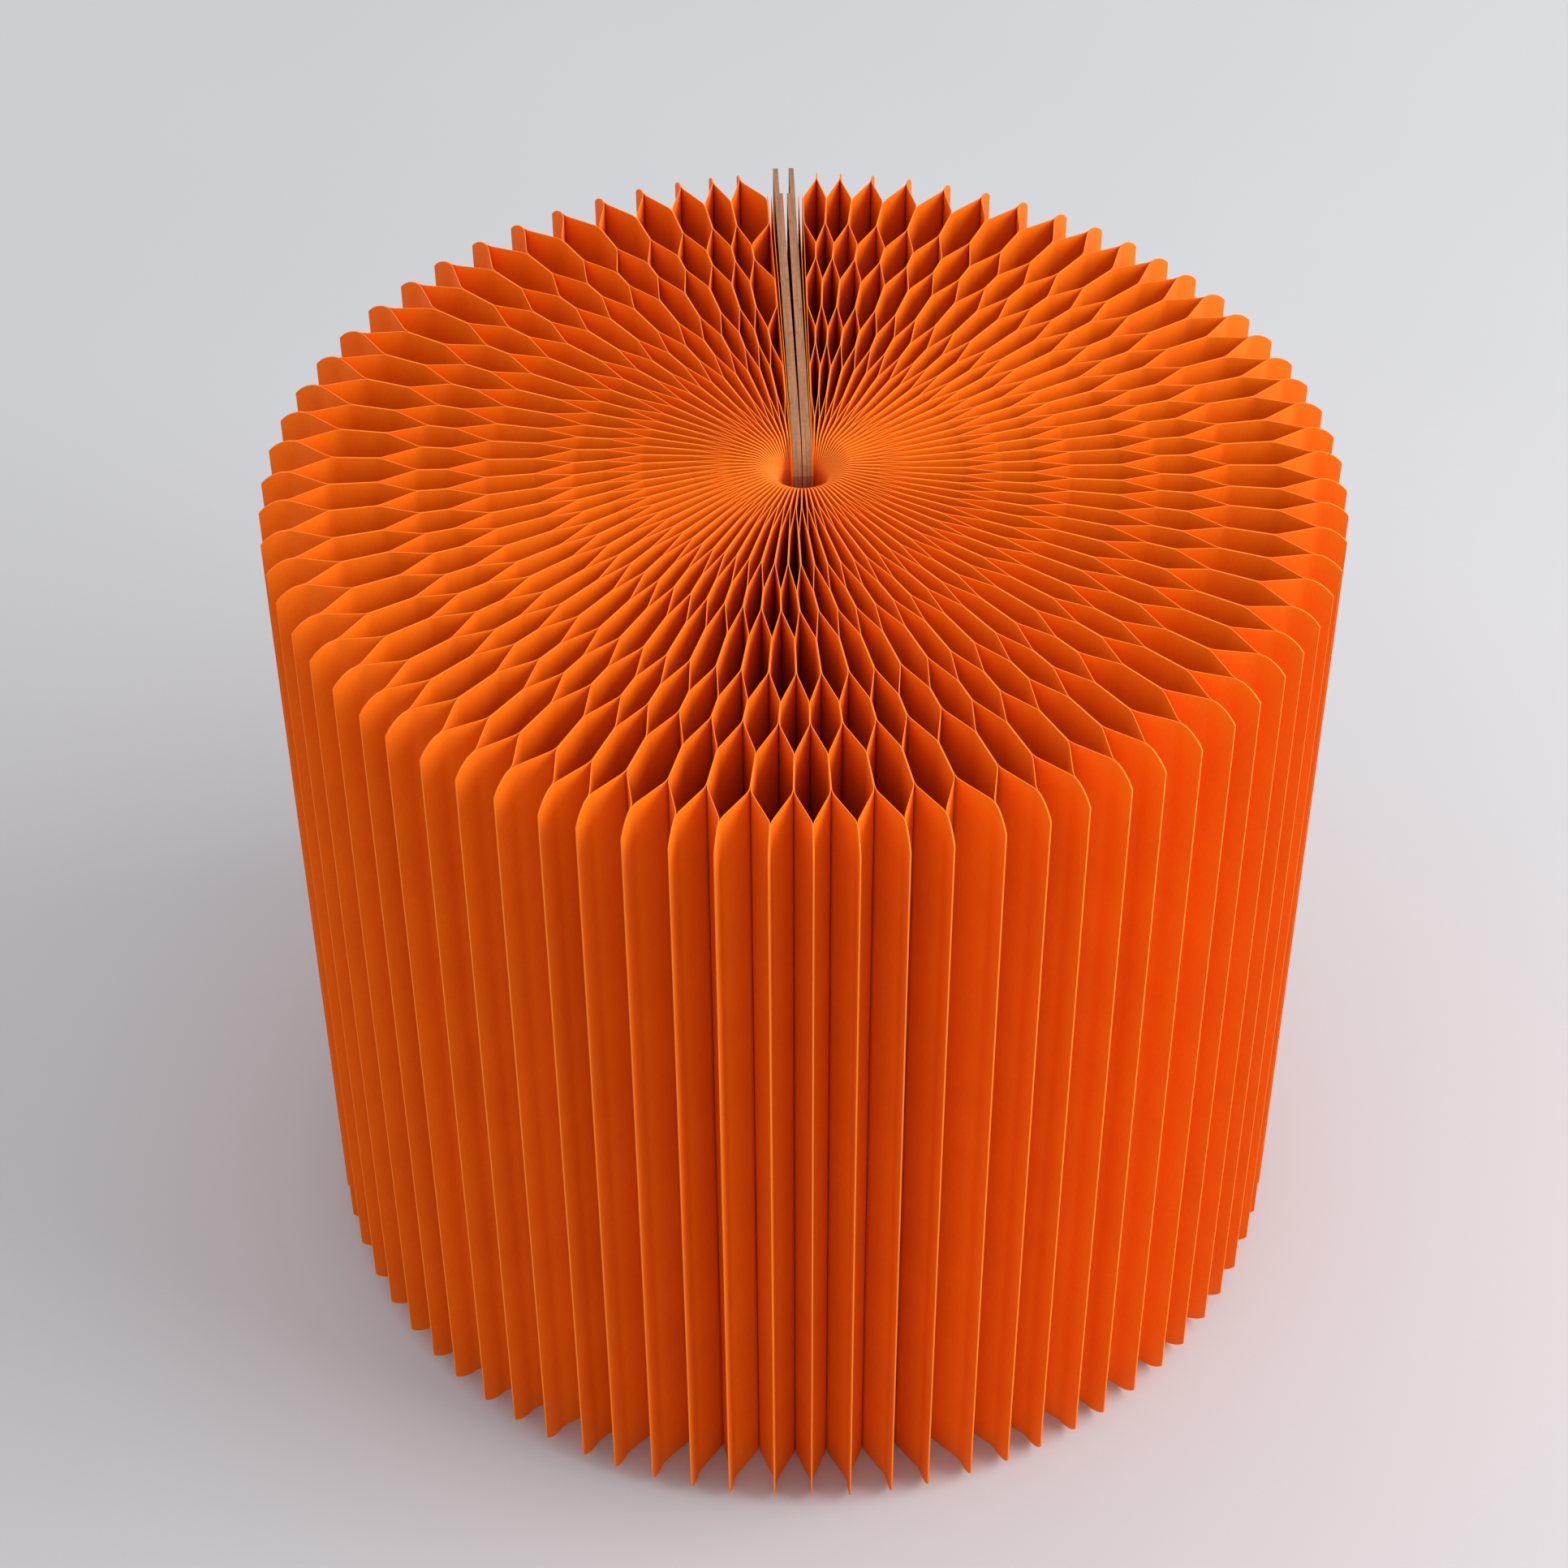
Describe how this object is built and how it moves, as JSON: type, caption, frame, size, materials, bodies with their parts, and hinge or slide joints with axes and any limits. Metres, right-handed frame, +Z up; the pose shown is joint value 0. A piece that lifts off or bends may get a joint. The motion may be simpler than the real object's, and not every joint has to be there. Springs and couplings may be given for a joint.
{
  "type": "honeycomb paper drum",
  "caption": "Upright drum of honeycomb paper that fans open from a flat block round a small central hole, with a stiff board at each end of the block.",
  "frame": {"origin": "on the floor, under the middle of the ring of ribs", "axes": "+Z up, +Y towards the seam between the two end boards, +X to the right seen from the front"},
  "size_m": [0.2999, 0.2996, 0.275],
  "materials": {
    "paper": "matt, through-dyed orange card",
    "board": "matt, brown greyboard",
    "strip": "matt, warm brown"
  },
  "bodies": {
    "leaf_01": {"paper_leaf_01a": "paper", "paper_leaf_01b": "paper"},
    "leaf_02": {"paper_leaf_02a": "paper", "paper_leaf_02b": "paper"},
    "leaf_03": {"paper_leaf_03a": "paper", "paper_leaf_03b": "paper"},
    "leaf_04": {"paper_leaf_04a": "paper", "paper_leaf_04b": "paper"},
    "leaf_05": {"paper_leaf_05a": "paper", "paper_leaf_05b": "paper"},
    "leaf_06": {"paper_leaf_06a": "paper", "paper_leaf_06b": "paper"},
    "leaf_07": {"paper_leaf_07a": "paper", "paper_leaf_07b": "paper"},
    "leaf_08": {"paper_leaf_08a": "paper", "paper_leaf_08b": "paper"},
    "leaf_09": {"paper_leaf_09a": "paper", "paper_leaf_09b": "paper"},
    "leaf_10": {"paper_leaf_10a": "paper", "paper_leaf_10b": "paper"},
    "leaf_11": {"paper_leaf_11a": "paper", "paper_leaf_11b": "paper"},
    "leaf_12": {"paper_leaf_12a": "paper", "paper_leaf_12b": "paper"},
    "leaf_13": {"paper_leaf_13a": "paper", "paper_leaf_13b": "paper"},
    "leaf_14": {"paper_leaf_14a": "paper", "paper_leaf_14b": "paper"},
    "leaf_15": {"paper_leaf_15a": "paper", "paper_leaf_15b": "paper"},
    "leaf_16": {"paper_leaf_16a": "paper", "paper_leaf_16b": "paper"},
    "leaf_17": {"paper_leaf_17a": "paper", "paper_leaf_17b": "paper"},
    "leaf_18": {"paper_leaf_18a": "paper", "paper_leaf_18b": "paper"},
    "leaf_19": {"paper_leaf_19a": "paper", "paper_leaf_19b": "paper"},
    "leaf_20": {"paper_leaf_20a": "paper", "paper_leaf_20b": "paper"},
    "leaf_21": {"paper_leaf_21a": "paper", "paper_leaf_21b": "paper"},
    "leaf_22": {"paper_leaf_22a": "paper", "paper_leaf_22b": "paper"},
    "leaf_23": {"paper_leaf_23a": "paper", "paper_leaf_23b": "paper"},
    "leaf_24": {"paper_leaf_24a": "paper", "paper_leaf_24b": "paper"},
    "leaf_25": {"paper_leaf_25a": "paper", "paper_leaf_25b": "paper"},
    "left_board": {"left_end_board": "board", "left_closure_strip": "strip", "left_lining_sheet_1": "paper", "left_lining_sheet_2": "paper"},
    "right_board": {"right_end_board": "board", "right_closure_strip": "strip", "right_lining_sheet_1": "paper", "right_lining_sheet_2": "paper"}
  },
  "joints": [
    {"name": "fold_12_13", "type": "hinge", "parent": "leaf_13", "child": "leaf_12", "pos_m": [-0.00072, -0.00376, 0], "axis": [0, 0, 1], "range_deg": [0, 13.21], "deforming": ["paper_leaf_12a", "paper_leaf_12b", "paper_leaf_13a", "paper_leaf_13b"]},
    {"name": "fold_11_12", "type": "hinge", "parent": "leaf_12", "child": "leaf_11", "pos_m": [-0.00214, -0.00346, 0], "axis": [0, 0, 1], "range_deg": [0, 14.01], "deforming": ["paper_leaf_11a", "paper_leaf_11b"]},
    {"name": "fold_10_11", "type": "hinge", "parent": "leaf_11", "child": "leaf_10", "pos_m": [-0.00345, -0.00286, 0], "axis": [0, 0, 1], "range_deg": [0, 13.44], "deforming": ["paper_leaf_10a", "paper_leaf_10b"]},
    {"name": "fold_09_10", "type": "hinge", "parent": "leaf_10", "child": "leaf_09", "pos_m": [-0.00461, -0.002, 0], "axis": [0, 0, 1], "range_deg": [0, 14.1], "deforming": ["paper_leaf_09a", "paper_leaf_09b"]},
    {"name": "fold_08_09", "type": "hinge", "parent": "leaf_09", "child": "leaf_08", "pos_m": [-0.00556, -0.00091, 0], "axis": [0, 0, 1], "range_deg": [0, 13.87], "deforming": ["paper_leaf_08a", "paper_leaf_08b"]},
    {"name": "fold_07_08", "type": "hinge", "parent": "leaf_08", "child": "leaf_07", "pos_m": [-0.00626, 0.00035, 0], "axis": [0, 0, 1], "range_deg": [0, 14.76], "deforming": ["paper_leaf_07a", "paper_leaf_07b"]},
    {"name": "fold_06_07", "type": "hinge", "parent": "leaf_07", "child": "leaf_06", "pos_m": [-0.00668, 0.00174, 0], "axis": [0, 0, 1], "range_deg": [0, 15.26], "deforming": ["paper_leaf_06a", "paper_leaf_06b"]},
    {"name": "fold_05_06", "type": "hinge", "parent": "leaf_06", "child": "leaf_05", "pos_m": [-0.0068, 0.00318, 0], "axis": [0, 0, 1], "range_deg": [0, 16.29], "deforming": ["paper_leaf_05a", "paper_leaf_05b"]},
    {"name": "fold_04_05", "type": "hinge", "parent": "leaf_05", "child": "leaf_04", "pos_m": [-0.00661, 0.00461, 0], "axis": [0, 0, 1], "range_deg": [0, 16.91], "deforming": ["paper_leaf_04a", "paper_leaf_04b"]},
    {"name": "fold_03_04", "type": "hinge", "parent": "leaf_04", "child": "leaf_03", "pos_m": [-0.00612, 0.00597, 0], "axis": [0, 0, 1], "range_deg": [0, 17.23], "deforming": ["paper_leaf_03a", "paper_leaf_03b"]},
    {"name": "fold_02_03", "type": "hinge", "parent": "leaf_03", "child": "leaf_02", "pos_m": [-0.00535, 0.0072, 0], "axis": [0, 0, 1], "range_deg": [0, 16.93], "deforming": ["paper_leaf_02a", "paper_leaf_02b"]},
    {"name": "fold_01_02", "type": "hinge", "parent": "leaf_02", "child": "leaf_01", "pos_m": [-0.00434, 0.00823, 0], "axis": [0, 0, 1], "range_deg": [0, 14.28], "deforming": ["paper_leaf_01a", "paper_leaf_01b"]},
    {"name": "left_board_fold", "type": "hinge", "parent": "leaf_01", "child": "left_board", "pos_m": [-0.00314, 0.00903, 0], "axis": [0, 0, 1], "range_deg": [0, 7.48], "deforming": ["left_lining_sheet_1", "left_lining_sheet_2"]},
    {"name": "fold_13_14", "type": "hinge", "parent": "leaf_13", "child": "leaf_14", "pos_m": [0.00072, -0.00376, 0], "axis": [0, 0, 1], "range_deg": [-13.88, 0], "deforming": ["paper_leaf_14a", "paper_leaf_14b"]},
    {"name": "fold_14_15", "type": "hinge", "parent": "leaf_14", "child": "leaf_15", "pos_m": [0.00214, -0.00346, 0], "axis": [0, 0, 1], "range_deg": [-13.18, 0], "deforming": ["paper_leaf_15a", "paper_leaf_15b"]},
    {"name": "fold_15_16", "type": "hinge", "parent": "leaf_15", "child": "leaf_16", "pos_m": [0.00345, -0.00286, 0], "axis": [0, 0, 1], "range_deg": [-14.03, 0], "deforming": ["paper_leaf_16a", "paper_leaf_16b"]},
    {"name": "fold_16_17", "type": "hinge", "parent": "leaf_16", "child": "leaf_17", "pos_m": [0.00461, -0.002, 0], "axis": [0, 0, 1], "range_deg": [-13.47, 0], "deforming": ["paper_leaf_17a", "paper_leaf_17b"]},
    {"name": "fold_17_18", "type": "hinge", "parent": "leaf_17", "child": "leaf_18", "pos_m": [0.00556, -0.00091, 0], "axis": [0, 0, 1], "range_deg": [-14.03, 0], "deforming": ["paper_leaf_18a", "paper_leaf_18b"]},
    {"name": "fold_18_19", "type": "hinge", "parent": "leaf_18", "child": "leaf_19", "pos_m": [0.00626, 0.00035, 0], "axis": [0, 0, 1], "range_deg": [-13.39, 0], "deforming": ["paper_leaf_19a", "paper_leaf_19b"]},
    {"name": "fold_19_20", "type": "hinge", "parent": "leaf_19", "child": "leaf_20", "pos_m": [0.00668, 0.00174, 0], "axis": [0, 0, 1], "range_deg": [-13.67, 0], "deforming": ["paper_leaf_20a", "paper_leaf_20b"]},
    {"name": "fold_20_21", "type": "hinge", "parent": "leaf_20", "child": "leaf_21", "pos_m": [0.0068, 0.00318, 0], "axis": [0, 0, 1], "range_deg": [-13.51, 0], "deforming": ["paper_leaf_21a", "paper_leaf_21b"]},
    {"name": "fold_21_22", "type": "hinge", "parent": "leaf_21", "child": "leaf_22", "pos_m": [0.00661, 0.00461, 0], "axis": [0, 0, 1], "range_deg": [-14.12, 0], "deforming": ["paper_leaf_22a", "paper_leaf_22b"]},
    {"name": "fold_22_23", "type": "hinge", "parent": "leaf_22", "child": "leaf_23", "pos_m": [0.00612, 0.00597, 0], "axis": [0, 0, 1], "range_deg": [-14.62, 0], "deforming": ["paper_leaf_23a", "paper_leaf_23b"]},
    {"name": "fold_23_24", "type": "hinge", "parent": "leaf_23", "child": "leaf_24", "pos_m": [0.00535, 0.0072, 0], "axis": [0, 0, 1], "range_deg": [-15.04, 0], "deforming": ["paper_leaf_24a", "paper_leaf_24b"]},
    {"name": "fold_24_25", "type": "hinge", "parent": "leaf_24", "child": "leaf_25", "pos_m": [0.00434, 0.00823, 0], "axis": [0, 0, 1], "range_deg": [-13.3, 0], "deforming": ["paper_leaf_25a", "paper_leaf_25b"]},
    {"name": "right_board_fold", "type": "hinge", "parent": "leaf_25", "child": "right_board", "pos_m": [0.00314, 0.00903, 0], "axis": [0, 0, 1], "range_deg": [-5.51, 0], "deforming": ["right_lining_sheet_1", "right_lining_sheet_2"]}
  ],
  "couplings": [
    {"joint": "fold_11_12", "follows": "fold_12_13", "ratio": 1.0605},
    {"joint": "fold_10_11", "follows": "fold_12_13", "ratio": 1.0173},
    {"joint": "fold_09_10", "follows": "fold_12_13", "ratio": 1.067},
    {"joint": "fold_08_09", "follows": "fold_12_13", "ratio": 1.0498},
    {"joint": "fold_07_08", "follows": "fold_12_13", "ratio": 1.117},
    {"joint": "fold_06_07", "follows": "fold_12_13", "ratio": 1.1551},
    {"joint": "fold_05_06", "follows": "fold_12_13", "ratio": 1.2329},
    {"joint": "fold_04_05", "follows": "fold_12_13", "ratio": 1.2797},
    {"joint": "fold_03_04", "follows": "fold_12_13", "ratio": 1.3036},
    {"joint": "fold_02_03", "follows": "fold_12_13", "ratio": 1.2816},
    {"joint": "fold_01_02", "follows": "fold_12_13", "ratio": 1.0811},
    {"joint": "left_board_fold", "follows": "fold_12_13", "ratio": 0.56612},
    {"joint": "fold_13_14", "follows": "fold_12_13", "ratio": -1.0508},
    {"joint": "fold_14_15", "follows": "fold_12_13", "ratio": -0.99731},
    {"joint": "fold_15_16", "follows": "fold_12_13", "ratio": -1.0621},
    {"joint": "fold_16_17", "follows": "fold_12_13", "ratio": -1.0197},
    {"joint": "fold_17_18", "follows": "fold_12_13", "ratio": -1.0616},
    {"joint": "fold_18_19", "follows": "fold_12_13", "ratio": -1.0135},
    {"joint": "fold_19_20", "follows": "fold_12_13", "ratio": -1.0349},
    {"joint": "fold_20_21", "follows": "fold_12_13", "ratio": -1.0226},
    {"joint": "fold_21_22", "follows": "fold_12_13", "ratio": -1.0685},
    {"joint": "fold_22_23", "follows": "fold_12_13", "ratio": -1.1066},
    {"joint": "fold_23_24", "follows": "fold_12_13", "ratio": -1.1384},
    {"joint": "fold_24_25", "follows": "fold_12_13", "ratio": -1.0067},
    {"joint": "right_board_fold", "follows": "fold_12_13", "ratio": -0.41709}
  ]
}
